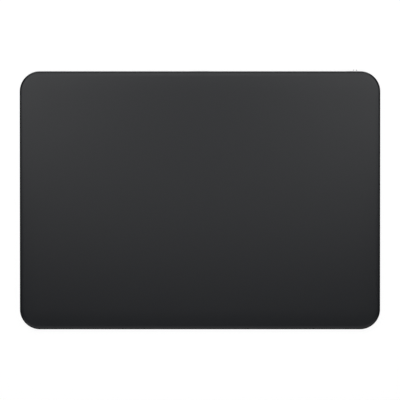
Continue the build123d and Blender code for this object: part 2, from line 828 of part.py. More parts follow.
shuttle_rear = case_rear - switch_case_wall - shuttle_gap
with BuildPart() as switch_shuttle:
    with BuildSketch(Plane.XZ.offset(-shuttle_rear)):
        with Locations((stem_x, socket_z)):
            Rectangle(shuttle_length, room_height - 2 * shuttle_gap)
    extrude(amount=room_depth - 2 * shuttle_gap)
    with BuildSketch(Plane.XZ.offset(-shuttle_rear)):
        with Locations((stem_x, socket_z)):
            Rectangle(lever_size, lever_size)
    extrude(amount=-(stem_end + lever_length - shuttle_rear))
save(switch_shuttle, "switch_shuttle")

with BuildPart() as switch_board:
    with BuildSketch(Plane.XY.offset(switch_board_bottom)):
        with Locations((switch_board_x, switch_board_y)):
            Rectangle(switch_board_length, switch_board_width)
        with Locations(switch_screw_at):
            RegularPolygon(screw_radius + fit_gap, shank_sides, mode=Mode.SUBTRACT)
    extrude(amount=switch_board_thickness)
save(switch_board, "switch_board")
save_screws(
    "switch_board_screw", Plane.XY.offset(switch_board_top), [switch_screw_at], switch_board_thickness
)

# Antenna: a foil just under the glass, on a plastic carrier, with a tail down the carrier's end
antenna_top = glass_thickness + glass_gap
antenna_end = antenna_x + antenna_length / 2
with BuildPart() as antenna_carrier:
    with BuildSketch(Plane.XY.offset(floor_top)):
        with Locations((antenna_x, antenna_y)):
            Rectangle(antenna_length, antenna_width)
    extrude(amount=rear_height)
    split(bisect_by=below(antenna_top + antenna_foil), keep=Keep.BOTTOM)
save(antenna_carrier, "antenna_carrier")

with BuildPart() as antenna_foil_strip:
    with BuildSketch(Plane.XY.offset(board_top)):
        with Locations((antenna_x, antenna_y)):
            Rectangle(antenna_length - 2 * antenna_margin, antenna_width - 2 * antenna_margin)
        with Locations((antenna_end - antenna_margin / 2, antenna_y)):
            Rectangle(antenna_margin, antenna_tail)
    extrude(amount=rear_height)
    split(bisect_by=below(antenna_top + antenna_foil), keep=Keep.TOP)
    with BuildSketch(Plane.XY.offset(board_top)):
        with Locations((antenna_end + antenna_foil / 2, antenna_y)):
            Rectangle(antenna_foil, antenna_tail)
    extrude(amount=rear_height)
    split(bisect_by=below(antenna_top), keep=Keep.BOTTOM)
save(antenna_foil_strip, "antenna_foil")

# Antenna lead, a thin coaxial cable from the foil's tail onto the circuit board
lead_start = antenna_end + antenna_foil
lead_end = antenna_lead_lap - board_end
with BuildPart() as antenna_lead:
    with BuildSketch(Plane.YZ.offset(lead_start)):
        with Locations((antenna_y, board_top + antenna_lead_radius)):
            Circle(antenna_lead_radius)
    extrude(amount=lead_end - lead_start)
save(antenna_lead, "antenna_lead")


def save_cable(name, across, route):
    """A flat cable that lies across one direction, swept along a route with rounded bends."""
    start, following = Vector(route[0]), Vector(route[1])
    with BuildPart() as cable:
        with BuildLine() as path:
            FilletPolyline(*route, radius=cable_bend)
        with BuildSketch(Plane(origin=start, x_dir=across, z_dir=following - start)):
            Rectangle(cable_width, cable_thickness)
        sweep(path=path.line)
    save(cable, name)


# Haptic cable, off the base plate, down into the floor channel, and up onto the circuit board
on_board = board_top + cable_thickness / 2
in_channel = floor_top - channel_depth + cable_thickness / 2
on_plate = base_plate_top - cable_thickness / 2
haptic_cable_start = engine_rear - cable_lap
haptic_cable_drop = engine_rear + boss_margin + cable_bend
board_rise = board_front - 2 * cable_bend
save_cable(
    "haptic_cable",
    (1, 0, 0),
    [
        (0, haptic_cable_start, height_below(on_plate, haptic_cable_start)),
        (0, haptic_cable_drop, height_below(on_plate, haptic_cable_drop)),
        (0, haptic_cable_drop, in_channel),
        (0, board_rise, in_channel),
        (0, board_rise, on_board),
        (0, board_front + cable_lap, on_board),
    ],
)

# Battery lead, from the guard board straight across to the circuit board
battery_lead_start = battery_rear + guard_board_width / 3
with BuildPart() as battery_lead:
    with BuildSketch(Plane.XY.offset(board_top)):
        with Locations((guard_x, (battery_lead_start + board_front + cable_lap) / 2)):
            Rectangle(cable_width, board_front + cable_lap - battery_lead_start)
    extrude(amount=cable_thickness)
save(battery_lead, "battery_lead")

# Switch cable, down to the floor and up again between the two boards
on_switch_board = switch_board_top + cable_thickness / 2
on_floor = floor_top + cable_thickness / 2
switch_cable_start = switch_screw_at[0] - screw_head_radius - fit_gap
switch_cable_drop = switch_board_x - switch_board_length / 2 - 2 * cable_bend
switch_cable_rise = board_end + 2 * cable_bend
save_cable(
    "switch_cable",
    (0, 1, 0),
    [
        (switch_cable_start, switch_board_y, on_switch_board),
        (switch_cable_drop, switch_board_y, on_switch_board),
        (switch_cable_drop, switch_board_y, on_floor),
        (switch_cable_rise, switch_board_y, on_floor),
        (switch_cable_rise, switch_board_y, on_board),
        (board_end - cable_lap, switch_board_y, on_board),
    ],
)

# Touch cable, from the underside of the sensor board, behind the stiffener, down to the circuit board
under_sensor = sensor_bottom + cable_thickness / 2
touch_cable_start = stiffener_half_depth + antenna_clearance + antenna_width - antenna_margin
touch_cable_drop = stiffener_half_depth + 2 * antenna_margin
touch_cable_end = touch_cable_drop - cable_lap
save_cable(
    "touch_cable",
    (1, 0, 0),
    [
        (touch_cable_x, touch_cable_start, height_below(under_sensor, touch_cable_start)),
        (touch_cable_x, touch_cable_drop, height_below(under_sensor, touch_cable_drop)),
        (touch_cable_x, touch_cable_drop, on_board),
        (touch_cable_x, touch_cable_end, on_board),
    ],
)

# Connectors on the circuit board, each at the end of its cable
front_row_y = board_front + cable_lap + connector_depth / 2
with BuildPart() as board_connectors:
    with BuildSketch(Plane.XY.offset(board_top)):
        with Locations(
            (0, front_row_y), (guard_x, front_row_y), (touch_cable_x, touch_cable_end - connector_depth / 2)
        ):
            Rectangle(cable_width + connector_margin, connector_depth)
        with Locations((board_end - cable_lap - connector_depth / 2, switch_board_y)):
            Rectangle(connector_depth, cable_width + connector_margin)
        with Locations((lead_end + connector_depth / 2, antenna_y)):
            Rectangle(connector_depth, connector_depth)
    extrude(amount=connector_height)
save(board_connectors, "board_connectors")
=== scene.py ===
# %% [markdown]
# A desk trackpad: a black touch glass on a slim silver tray, higher at the rear than in front.
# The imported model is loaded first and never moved. Everything after it dresses that frame.

# %% Load the frame
import json
from math import atan2, cos, degrees, hypot, pi, radians, sin

import bmesh
import bpy
from mathutils import Matrix, Vector


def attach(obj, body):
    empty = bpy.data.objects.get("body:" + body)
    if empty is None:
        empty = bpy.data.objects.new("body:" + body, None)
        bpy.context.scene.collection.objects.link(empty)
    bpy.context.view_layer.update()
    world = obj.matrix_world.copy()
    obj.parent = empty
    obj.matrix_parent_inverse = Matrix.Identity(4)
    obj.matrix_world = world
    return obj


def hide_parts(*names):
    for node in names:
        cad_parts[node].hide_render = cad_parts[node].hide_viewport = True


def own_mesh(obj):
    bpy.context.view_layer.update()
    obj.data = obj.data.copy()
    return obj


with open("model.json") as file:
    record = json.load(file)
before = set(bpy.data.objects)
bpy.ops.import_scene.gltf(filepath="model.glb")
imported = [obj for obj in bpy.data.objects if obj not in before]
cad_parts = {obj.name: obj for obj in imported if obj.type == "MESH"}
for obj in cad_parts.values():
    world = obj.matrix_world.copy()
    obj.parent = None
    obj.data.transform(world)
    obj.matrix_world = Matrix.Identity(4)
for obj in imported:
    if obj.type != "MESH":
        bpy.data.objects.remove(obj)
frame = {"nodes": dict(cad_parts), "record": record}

MM = 0.001
scene = bpy.context.scene
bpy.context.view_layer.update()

# %% [markdown]
# The camera looks down on the glass from far away with a long lens, so upright sides stay parallel.
# It leans a little towards the rear, which shows a thin line of the rear wall and the tips of the
# switch's two ridges, and nothing of the front wall. A long lens was chosen before a flat one,
# because it still frames the whole trackpad when the camera is moved round it.

# %% Camera
FRAME_PIXELS = 400
OUTLINE_PIXELS = 360.45
WIDTH, DEPTH = 160 * MM, 114.9 * MM
LEAN = radians(2.8)
LENS = 1500
frame_width = WIDTH * FRAME_PIXELS / OUTLINE_PIXELS

camera = bpy.data.objects.new("camera", bpy.data.cameras.new("camera"))
scene.collection.objects.link(camera)
scene.camera = camera
camera.data.lens = LENS
camera_distance = frame_width * LENS / camera.data.sensor_width
towards_camera = Vector((0, sin(LEAN), cos(LEAN)))
aim = Vector((0, 0.31 * MM, 7.9 * MM))
camera.location = aim + towards_camera * camera_distance
camera.rotation_euler = (-LEAN, 0, 0)
camera.data.clip_start, camera.data.clip_end = camera_distance / 10, camera_distance * 2
print("camera distance", round(camera_distance, 2), "m for a frame of", round(frame_width / MM, 1), "mm")

# %% [markdown]
# The object lies on a white table in a white room. The camera sees the room as plain white. Metal
# sees it white near the horizon and darker overhead, as in a studio where black cloth hangs above
# the lamps, and that dark is what keeps the satin glass black. A picture of a studio could surround
# the object instead, but a ramp by height does the same with four numbers.

# %% World
CEILING, HORIZON = 0.07, 1.0
DARK_FROM, DARK_AT = 0.02, 0.20
PAGE_WHITE = 1.0


def link(tree, source, output, target, socket):
    """Join one node's output to another's input."""
    tree.links.new(source.outputs[output], target.inputs[socket])


def ramp_node(tree, low, high, at_low, at_high, kind="LINEAR"):
    """A Map Range node: one value up to the low end, another from the high end on."""
    node = tree.nodes.new("ShaderNodeMapRange")
    node.interpolation_type = kind
    for label, value in (("From Min", low), ("From Max", high), ("To Min", at_low), ("To Max", at_high)):
        node.inputs[label].default_value = value
    return node


world = bpy.data.worlds.new("white_room")
scene.world = world
world.use_nodes = True
room = world.node_tree
backdrop = room.nodes["Background"]
backdrop.inputs["Color"].default_value = (1, 1, 1, 1)
where = room.nodes.new("ShaderNodeTexCoord")
split_way = room.nodes.new("ShaderNodeSeparateXYZ")
height_ramp = ramp_node(room, DARK_FROM, DARK_AT, HORIZON, CEILING, "SMOOTHSTEP")
seen_by = room.nodes.new("ShaderNodeLightPath")
strength = room.nodes.new("ShaderNodeMix")
strength.inputs["B"].default_value = PAGE_WHITE
link(room, where, "Generated", split_way, "Vector")
link(room, split_way, "Z", height_ramp, "Value")
link(room, seen_by, "Is Camera Ray", strength, "Factor")
link(room, height_ramp, "Result", strength, "A")
link(room, strength, "Result", backdrop, "Strength")
print("world from", HORIZON, "at the horizon to", CEILING, "overhead")

# %% [markdown]
# The table top is one large square, a hair below the feet. It could curve up into a backdrop, as a
# photographer's paper does, but here the white room already stands behind it.

# %% Table top
TABLE_HALF = 3.0
HAIR_BELOW = 0.02 * MM
table = bmesh.new()
bmesh.ops.create_grid(table, x_segments=1, y_segments=1, size=TABLE_HALF)
bmesh.ops.translate(table, vec=(0, 0, -HAIR_BELOW), verts=table.verts)
table_mesh = bpy.data.meshes.new("table_top")
table.to_mesh(table_mesh)
table.free()
table_top = bpy.data.objects.new("table_top", table_mesh)
scene.collection.objects.link(table_top)
print("table top", 2 * TABLE_HALF, "m square")

# %% [markdown]
# White paint under soft lamps comes out grey, so the table also glows: to the camera and in
# reflections it is almost white by itself, and the lamps add the rest. Only the faint shadow beside
# the object is darker than the page. The glow grows with distance, where the lamps fall off, so that
# table and room meet without a line. Stronger lamps would make it white too, but would bleach the
# object.

# %% Table paint
NEAR_GLOW, FAR_GLOW = 0.90, 1.0
NEAR_REACH, FAR_REACH = 0.12, 0.60
MIRRORED_SHARE = 0.86
PAINT = 0.2


def math_node(tree, operation, *values):
    """A Math node with its first inputs set; None leaves an input for a link."""
    node = tree.nodes.new("ShaderNodeMath")
    node.operation = operation
    for place, value in enumerate(values):
        if value is not None:
            node.inputs[place].default_value = value
    return node


table_white = bpy.data.materials.new("table_white")
table_white.use_nodes = True
top_tree = table_white.node_tree
paint = top_tree.nodes["Principled BSDF"]
paint.inputs["Base Color"].default_value = (PAINT, PAINT, PAINT, 1)
paint.inputs["Roughness"].default_value = 1.0
paint.inputs["Specular IOR Level"].default_value = 0.0
paint.inputs["Emission Color"].default_value = (1, 1, 1, 1)
place_on_top = top_tree.nodes.new("ShaderNodeTexCoord")
reach = top_tree.nodes.new("ShaderNodeVectorMath")
reach.operation = "LENGTH"
glow_ramp = ramp_node(top_tree, NEAR_REACH, FAR_REACH, NEAR_GLOW, FAR_GLOW, "SMOOTHSTEP")
paths = top_tree.nodes.new("ShaderNodeLightPath")
mirrored = math_node(top_tree, "MULTIPLY", None, MIRRORED_SHARE)
seen_or_mirrored = math_node(top_tree, "MAXIMUM")
glow = math_node(top_tree, "MULTIPLY")
link(top_tree, place_on_top, "Object", reach, 0)
link(top_tree, reach, "Value", glow_ramp, "Value")
link(top_tree, paths, "Is Glossy Ray", mirrored, 0)
link(top_tree, paths, "Is Camera Ray", seen_or_mirrored, 0)
link(top_tree, mirrored, "Value", seen_or_mirrored, 1)
link(top_tree, seen_or_mirrored, "Value", glow, 0)
link(top_tree, glow_ramp, "Result", glow, 1)
link(top_tree, glow, "Value", paint, "Emission Strength")
print("table top glows from", NEAR_GLOW, "to", FAR_GLOW, "and is painted", PAINT)

# %% [markdown]
# From below the table is clear, so that the underside of the object can be looked at. A ray that has
# gone through it once finds it clear again on its way back, and so still sees the white room.

# %% Table from below
side_seen = top_tree.nodes.new("ShaderNodeNewGeometry")
clear_once_through = math_node(top_tree, "MAXIMUM")
clear = top_tree.nodes.new("ShaderNodeBsdfTransparent")
either_side = top_tree.nodes.new("ShaderNodeMixShader")
link(top_tree, side_seen, "Backfacing", clear_once_through, 0)
link(top_tree, paths, "Transparent Depth", clear_once_through, 1)
link(top_tree, clear_once_through, "Value", either_side, 0)
link(top_tree, paint, "BSDF", either_side, 1)
link(top_tree, clear, "BSDF", either_side, 2)
link(top_tree, either_side, "Shader", top_tree.nodes["Material Output"], "Surface")
table_mesh.materials.append(table_white)
print("table material:", table_mesh.materials[0].name)

# %% [markdown]
# What the eye reads in satin glass is the lamps above it, blurred. Here soft boxes hang close over the
# rear half: the glass is bright along the rear, a little brighter in its two rear corners, and fades
# towards the front, where the boxes end. One large box would light the face evenly, so it is cut into
# tiles of one ceiling, each with its own brightness and its edges given as seen from above. The far
# box is what the rolled rear edge mirrors as a light band. A dimmer box and the dark room behind it
# draw the dark line outside that band. The two weak near boxes light the rolled side edges further to
# the front. A last card stands in front, and draws the thin light line on the front edge.

# %% Lamps
BOX_HEIGHT = 0.25
BOXES = {
    # name: (left, right, front, rear, radiance), where a radiance of 1 is as bright as white paper
    "box_near": (-0.09, 0.09, -0.07, -0.01, 0.99),
    "box_near_left": (-0.30, -0.09, -0.07, -0.01, 0.42),
    "box_near_right": (0.09, 0.30, -0.07, -0.01, 0.42),
    "box_middle": (-0.05, 0.05, -0.01, 0.065, 0.54),
    "box_left": (-0.24, -0.05, -0.01, 0.065, 1.8),
    "box_right": (0.05, 0.24, -0.01, 0.065, 1.8),
    "box_far": (-0.22, 0.22, 0.065, 0.115, 1.75),
    "box_behind": (-0.22, 0.22, 0.115, 0.30, 1.15),
}
CARD_PLACE, CARD_SIZE, CARD_RADIANCE = Vector((0, -0.55, 0.50)), (1.2, 0.50), 0.6


def add_lamp(name, place, target, size, radiance):
    """A flat lamp that faces its target and is left out of the camera's own view."""
    lamp = bpy.data.lights.new(name, "AREA")
    lamp.shape = "RECTANGLE"
    lamp.size, lamp.size_y = size
    lamp.energy = radiance * pi * size[0] * size[1]
    holder = bpy.data.objects.new(name, lamp)
    scene.collection.objects.link(holder)
    holder.location = place
    holder.rotation_euler = (target - place).to_track_quat("-Z", "Y").to_euler()
    holder.visible_camera = False
    print(name, "of", round(lamp.energy, 3), "W")


for name, (left, right, front, rear, radiance) in BOXES.items():
    above = Vector(((left + right) / 2, (front + rear) / 2, BOX_HEIGHT))
    add_lamp(name, above, above - Vector((0, 0, BOX_HEIGHT)), (right - left, rear - front), radiance)
add_lamp("front_card", CARD_PLACE, Vector((0, 0, 0)), CARD_SIZE, CARD_RADIANCE)

# %% [markdown]
# No made surface is one even colour. Every finish shares one fine grain: a fine noise for relief, and
# a slow noise that drifts roughness and tone. A picture of a surface could give the same, but noise
# has no seams and no size of its own. It is built once as a group, and each finish sets its values.
# Sizes are in metres, because the pieces carry their places in their meshes.

# %% Shared grain
FLOAT, VECTOR, COLOR = "NodeSocketFloat", "NodeSocketVector", "NodeSocketColor"
FINE_DETAIL, SLOW_DETAIL, SLOW_SHARE = 3.0, 2.0, 0.02


def new_group(name, inputs, outputs):
    """An empty shader group with named sockets, and its two end nodes."""
    group = bpy.data.node_groups.new(name, "ShaderNodeTree")
    for label, kind, value in inputs:
        socket = group.interface.new_socket(label, in_out="INPUT", socket_type=kind)
        if value is not None:
            socket.default_value = value
    for label, kind in outputs:
        group.interface.new_socket(label, in_out="OUTPUT", socket_type=kind)
    return group, group.nodes.new("NodeGroupInput"), group.nodes.new("NodeGroupOutput")


grain_group, grain_in, grain_out = new_group(
    "fine_grain",
    [("Vector", VECTOR, None), ("Scale", FLOAT, 5000.0), ("Roughness", FLOAT, 0.4), ("Spread", FLOAT, 0.1)],
    [("Height", FLOAT), ("Roughness", FLOAT), ("Mask", FLOAT)],
)
fine = grain_group.nodes.new("ShaderNodeTexNoise")
fine.inputs["Detail"].default_value = FINE_DETAIL
slow = grain_group.nodes.new("ShaderNodeTexNoise")
slow.inputs["Detail"].default_value = SLOW_DETAIL
slow_scale = math_node(grain_group, "MULTIPLY", None, SLOW_SHARE)
lowest = math_node(grain_group, "SUBTRACT")
highest = math_node(grain_group, "ADD")
drift = grain_group.nodes.new("ShaderNodeMapRange")
link(grain_group, grain_in, "Vector", fine, "Vector")
link(grain_group, grain_in, "Scale", fine, "Scale")
link(grain_group, grain_in, "Scale", slow_scale, 0)
link(grain_group, grain_in, "Vector", slow, "Vector")
link(grain_group, slow_scale, "Value", slow, "Scale")
for edge in (lowest, highest):
    link(grain_group, grain_in, "Roughness", edge, 0)
    link(grain_group, grain_in, "Spread", edge, 1)
link(grain_group, slow, "Fac", drift, "Value")
link(grain_group, lowest, "Value", drift, "To Min")
link(grain_group, highest, "Value", drift, "To Max")
speckle = math_node(grain_group, "ADD")
half = math_node(grain_group, "MULTIPLY", None, 0.5)
link(grain_group, fine, "Fac", speckle, 0)
link(grain_group, slow, "Fac", speckle, 1)
link(grain_group, speckle, "Value", half, 0)
link(grain_group, fine, "Fac", grain_out, "Height")
link(grain_group, drift, "Result", grain_out, "Roughness")
link(grain_group, half, "Value", grain_out, "Mask")
print("group:", grain_group.name)

# %% [markdown]
# The tone group darkens a colour where the grain's mask is high. Each finish could have a second
# colour of its own for this, but a little black suits them all. A Mix node has several sockets of the
# same name, one for each kind of value, so those for colours are chosen by number.

# %% Slow tone
MIX_FACTOR, MIX_UNDER, MIX_OVER, MIX_RESULT = 0, 6, 7, 2


def color_mix(tree, color):
    """A mix that lays a second colour over whatever enters it."""
    node = tree.nodes.new("ShaderNodeMix")
    node.data_type = "RGBA"
    node.inputs[MIX_OVER].default_value = (*color, 1)
    return node


tone_group, tone_in, tone_out = new_group(
    "slow_tone",
    [("Color", COLOR, (0.5, 0.5, 0.5, 1)), ("Mask", FLOAT, 0.5), ("Amount", FLOAT, 0.1)],
    [("Color", COLOR)],
)
darker = math_node(tone_group, "MULTIPLY")
tone_mix = color_mix(tone_group, (0, 0, 0))
link(tone_group, tone_in, "Mask", darker, 0)
link(tone_group, tone_in, "Amount", darker, 1)
link(tone_group, darker, "Value", tone_mix, MIX_FACTOR)
link(tone_group, tone_in, "Color", tone_mix, MIX_UNDER)
link(tone_group, tone_mix, MIX_RESULT, tone_out, "Color")
print("group:", tone_group.name)

# %% [markdown]
# Pieces that are made in lines get a pattern over the grain. Even lines are the turns of wound wire,
# the copper strips of a flat cable, and, crossed with their like, square pads. The absolute sine of
# the place gives round turns by itself, and flat strips where it is cut off. The group puts out masks
# only, so that each material can colour them.

# %% Even lines
lines_group, lines_in, lines_out = new_group(
    "even_lines",
    [("Along", FLOAT, 0.0), ("Pitch", FLOAT, 0.0005), ("Edge", FLOAT, 0.65)],
    [("Round", FLOAT), ("Strip", FLOAT)],
)
turns = math_node(lines_group, "DIVIDE")
angle = math_node(lines_group, "MULTIPLY", None, pi)
swing = math_node(lines_group, "SINE")
bulge = math_node(lines_group, "ABSOLUTE")
strip = math_node(lines_group, "GREATER_THAN")
link(lines_group, lines_in, "Along", turns, 0)
link(lines_group, lines_in, "Pitch", turns, 1)
link(lines_group, turns, "Value", angle, 0)
link(lines_group, angle, "Value", swing, 0)
link(lines_group, swing, "Value", bulge, 0)
link(lines_group, bulge, "Value", strip, 0)
link(lines_group, lines_in, "Edge", strip, 1)
link(lines_group, bulge, "Value", lines_out, "Round")
link(lines_group, strip, "Value", lines_out, "Strip")
print("pattern:", lines_group.name)

# %% [markdown]
# A circuit board has patches of parallel tracks, some along it and some across, with tinned dots
# between them. Drawing each track would take thousands of lines. Instead the board is cut into random
# cells, and each cell's own colour says whether it is bare and which way its lines run.

# %% Board tracks
PATCH, PATCH_SPREAD = 2.4, 0.8
TRACK_PITCH, BARE_SHARE, ALONG_SHARE = 0.4, 0.3, 0.5
DOT_SPACING, DOT_SPREAD, DOT_SHARE, DOT_RADIUS = 1.5, 1.0, 0.4, 0.16


def group_node(tree, group, **values):
    """Place a shared group in a material or another group, with its own values there."""
    node = tree.nodes.new("ShaderNodeGroup")
    node.node_tree = group
    for label, value in values.items():
        node.inputs[label].default_value = value
    return node


def flat_cells(tree, size_mm, randomness):
    """Cells on the XY plane, with their random colour split up."""
    texture = tree.nodes.new("ShaderNodeTexVoronoi")
    texture.voronoi_dimensions = "2D"
    texture.inputs["Scale"].default_value = 1 / (size_mm * MM)
    texture.inputs["Randomness"].default_value = randomness
    chance = tree.nodes.new("ShaderNodeSeparateColor")
    link(tree, texture, "Color", chance, "Color")
    return texture, chance


tracks_group, tracks_in, tracks_out = new_group(
    "board_tracks", [("Vector", VECTOR, None)], [("Tracks", FLOAT), ("Dots", FLOAT)]
)
patches, patch_chance = flat_cells(tracks_group, PATCH, PATCH_SPREAD)
patches.distance = "CHEBYCHEV"
sides = tracks_group.nodes.new("ShaderNodeSeparateXYZ")
turned = math_node(tracks_group, "GREATER_THAN", None, ALONG_SHARE)
direction = tracks_group.nodes.new("ShaderNodeMix")
tracks = group_node(tracks_group, lines_group, Pitch=TRACK_PITCH * MM)
covered = math_node(tracks_group, "GREATER_THAN", None, BARE_SHARE)
tracks_there = math_node(tracks_group, "MULTIPLY")
dot_cells, dot_chance = flat_cells(tracks_group, DOT_SPACING, DOT_SPREAD)
in_dot = math_node(tracks_group, "LESS_THAN", None, DOT_RADIUS)
dot_kept = math_node(tracks_group, "LESS_THAN", None, DOT_SHARE)
dot = math_node(tracks_group, "MULTIPLY")
for target in (patches, dot_cells, sides):
    link(tracks_group, tracks_in, "Vector", target, "Vector")
link(tracks_group, patch_chance, "Red", turned, 0)
link(tracks_group, turned, "Value", direction, "Factor")
link(tracks_group, sides, "X", direction, "A")
link(tracks_group, sides, "Y", direction, "B")
link(tracks_group, direction, "Result", tracks, "Along")
link(tracks_group, patch_chance, "Green", covered, 0)
link(tracks_group, tracks, "Strip", tracks_there, 0)
link(tracks_group, covered, "Value", tracks_there, 1)
link(tracks_group, dot_cells, "Distance", in_dot, 0)
link(tracks_group, dot_chance, "Red", dot_kept, 0)
link(tracks_group, in_dot, "Value", dot, 0)
link(tracks_group, dot_kept, "Value", dot, 1)
link(tracks_group, tracks_there, "Value", tracks_out, "Tracks")
link(tracks_group, dot, "Value", tracks_out, "Dots")
print("pattern:", tracks_group.name)

# %% [markdown]
# A finish is a colour, a roughness, how metallic it is, and a grain of a real size. The table holds
# them all, one row to each of the record's slots, so that pieces of one stuff look the same. Rolled
# and ground metal has the same grain drawn out along its length, which the last column gives.

# %% Table of finishes
EVEN = (1, 1, 1)
DRAWN = (0.04, 1, 1)
FINISHES = {
    # slot: (colour, roughness, metallic, grain mm, relief mm, roughness spread, tone amount, stretch)
    "coated_glass": ((0.0045, 0.0060, 0.0090), 0.36, 0.0, 0.25, 0.0006, 0.02, 0.10, EVEN),
    "blasted_aluminium": ((0.72, 0.725, 0.735), 0.42, 1.0, 0.12, 0.010, 0.03, 0.12, EVEN),
    "knob_metal": ((0.72, 0.725, 0.735), 0.38, 1.0, 0.12, 0.006, 0.03, 0.12, EVEN),
    "foot_rubber": ((0.30, 0.30, 0.31), 0.75, 0.0, 0.25, 0.03, 0.06, 0.25, EVEN),
    "gasket_foam": ((0.03, 0.03, 0.032), 0.90, 0.0, 0.20, 0.06, 0.05, 0.60, EVEN),
    "gel": ((0.55, 0.57, 0.60), 0.22, 0.0, 0.80, 0.02, 0.08, 0.10, EVEN),
    "film_adhesive": ((0.10, 0.10, 0.11), 0.50, 0.0, 0.60, 0.02, 0.05, 0.25, EVEN),
    "spring_steel": ((0.60, 0.60, 0.61), 0.30, 1.0, 0.05, 0.004, 0.08, 0.25, DRAWN),
    "core_iron": ((0.42, 0.42, 0.43), 0.42, 1.0, 0.10, 0.008, 0.08, 0.40, DRAWN),
    "coil_copper": ((0.72, 0.36, 0.18), 0.30, 1.0, 0.20, 0.004, 0.06, 0.20, EVEN),
    "black_steel": ((0.10, 0.10, 0.11), 0.38, 1.0, 0.10, 0.005, 0.08, 0.30, EVEN),
    "can_steel": ((0.70, 0.70, 0.70), 0.28, 1.0, 0.06, 0.003, 0.08, 0.15, DRAWN),
    "socket_steel": ((0.62, 0.62, 0.63), 0.24, 1.0, 0.10, 0.002, 0.05, 0.10, EVEN),
    "contact_gold": ((0.85, 0.62, 0.28), 0.25, 1.0, 0.05, 0.001, 0.04, 0.10, EVEN),
    "tongue_plastic": ((0.02, 0.02, 0.02), 0.45, 0.0, 0.10, 0.004, 0.05, 0.20, EVEN),
    "marker_green": ((0.05, 0.55, 0.16), 0.35, 0.0, 0.20, 0.003, 0.04, 0.15, EVEN),
    "board_laminate": ((0.012, 0.045, 0.028), 0.34, 0.0, 0.40, 0.006, 0.06, 0.35, EVEN),
    "chip_epoxy": ((0.03, 0.03, 0.033), 0.55, 0.0, 0.08, 0.008, 0.05, 0.40, EVEN),
    "ferrite": ((0.12, 0.12, 0.13), 0.60, 0.0, 0.12, 0.015, 0.05, 0.40, EVEN),
    "connector_plastic": ((0.75, 0.72, 0.62), 0.45, 0.0, 0.20, 0.006, 0.04, 0.12, EVEN),
    "shuttle_plastic": ((0.06, 0.06, 0.06), 0.45, 0.0, 0.20, 0.006, 0.04, 0.20, EVEN),
    "carrier_plastic": ((0.10, 0.10, 0.10), 0.50, 0.0, 0.20, 0.010, 0.04, 0.25, EVEN),
    "antenna_copper": ((0.75, 0.42, 0.22), 0.35, 1.0, 0.06, 0.003, 0.08, 0.30, DRAWN),
    "pouch_foil": ((0.02, 0.02, 0.022), 0.30, 0.0, 4.00, 0.35, 0.12, 0.40, EVEN),
    "cable_film": ((0.36, 0.15, 0.03), 0.24, 0.0, 0.60, 0.006, 0.05, 0.20, EVEN),
    "lead_jacket": ((0.02, 0.02, 0.02), 0.40, 0.0, 0.20, 0.004, 0.04, 0.20, EVEN),
}
print("rows:", len(FINISHES))

# %% [markdown]
# One function turns a row into a material, so that a change of the way is made in one place. Two more
# lay a pattern over a finished material: they take what already reaches the shader, and put the
# pattern's colour and relief between the two.

# %% Finishes
def make_finish(slot, color, roughness, metallic, grain_mm, relief_mm, spread, amount, stretch):
    """One material for a slot, with the shared grain at that finish's own size and depth."""
    material = bpy.data.materials.new(slot)
    material.use_nodes = True
    tree = material.node_tree
    shader = tree.nodes["Principled BSDF"]
    shader.inputs["Metallic"].default_value = metallic
    place = tree.nodes.new("ShaderNodeTexCoord")
    place.name = "place"
    drawn = tree.nodes.new("ShaderNodeMapping")
    drawn.inputs["Scale"].default_value = stretch
    grain = group_node(tree, grain_group, Scale=1 / (grain_mm * MM), Roughness=roughness, Spread=spread)
    grain.name = "grain"
    tone = group_node(tree, tone_group, Color=(*color, 1), Amount=amount)
    relief = tree.nodes.new("ShaderNodeBump")
    relief.inputs["Distance"].default_value = relief_mm * MM
    link(tree, place, "Object", drawn, "Vector")
    link(tree, drawn, "Vector", grain, "Vector")
    link(tree, grain, "Mask", tone, "Mask")
    link(tree, tone, "Color", shader, "Base Color")
    link(tree, grain, "Roughness", shader, "Roughness")
    link(tree, grain, "Height", relief, "Height")
    link(tree, relief, "Normal", shader, "Normal")
    return material


def lay_over(material, source, output, color, depth_mm):
    """Lay a mask over a finish: a second colour where it is 1, and that much relief on top."""
    tree = material.node_tree
    shader = tree.nodes["Principled BSDF"]
    under_color = shader.inputs["Base Color"].links[0].from_socket
    under_normal = shader.inputs["Normal"].links[0].from_socket
    over = color_mix(tree, color)
    raised = tree.nodes.new("ShaderNodeBump")
    raised.inputs["Distance"].default_value = depth_mm * MM
    tree.links.new(under_color, over.inputs[MIX_UNDER])
    tree.links.new(under_normal, raised.inputs["Normal"])
    link(tree, source, output, over, MIX_FACTOR)
    link(tree, source, output, raised, "Height")
    link(tree, over, MIX_RESULT, shader, "Base Color")
    link(tree, raised, "Normal", shader, "Normal")


def add_lines(material, axis, pitch_mm, output, color, depth_mm):
    """Lay even lines over a finish, one after another along an axis."""
    tree = material.node_tree
    split = tree.nodes.new("ShaderNodeSeparateXYZ")
    lines = group_node(tree, lines_group, Pitch=pitch_mm * MM)
    link(tree, tree.nodes["place"], "Object", split, "Vector")
    link(tree, split, axis, lines, "Along")
    lay_over(material, lines, output, color, depth_mm)


finishes = {slot: make_finish(slot, *row) for slot, row in FINISHES.items()}
print("finishes:", len(finishes))

# %% [markdown]
# Copper wire 0.16 mm thick is wound round poles that point to the rear, so its turns follow each
# other along Y. The cables run to the rear too, and their strips lie side by side across X, all but
# the switch's, which runs to the side. A strain gauge is one fine strip folded to and fro. Modelled
# one by one, the turns would need thousands of faces for something deep inside, so they are relief.
# The copies are made before any pattern is laid, so that each one starts from the plain finish.

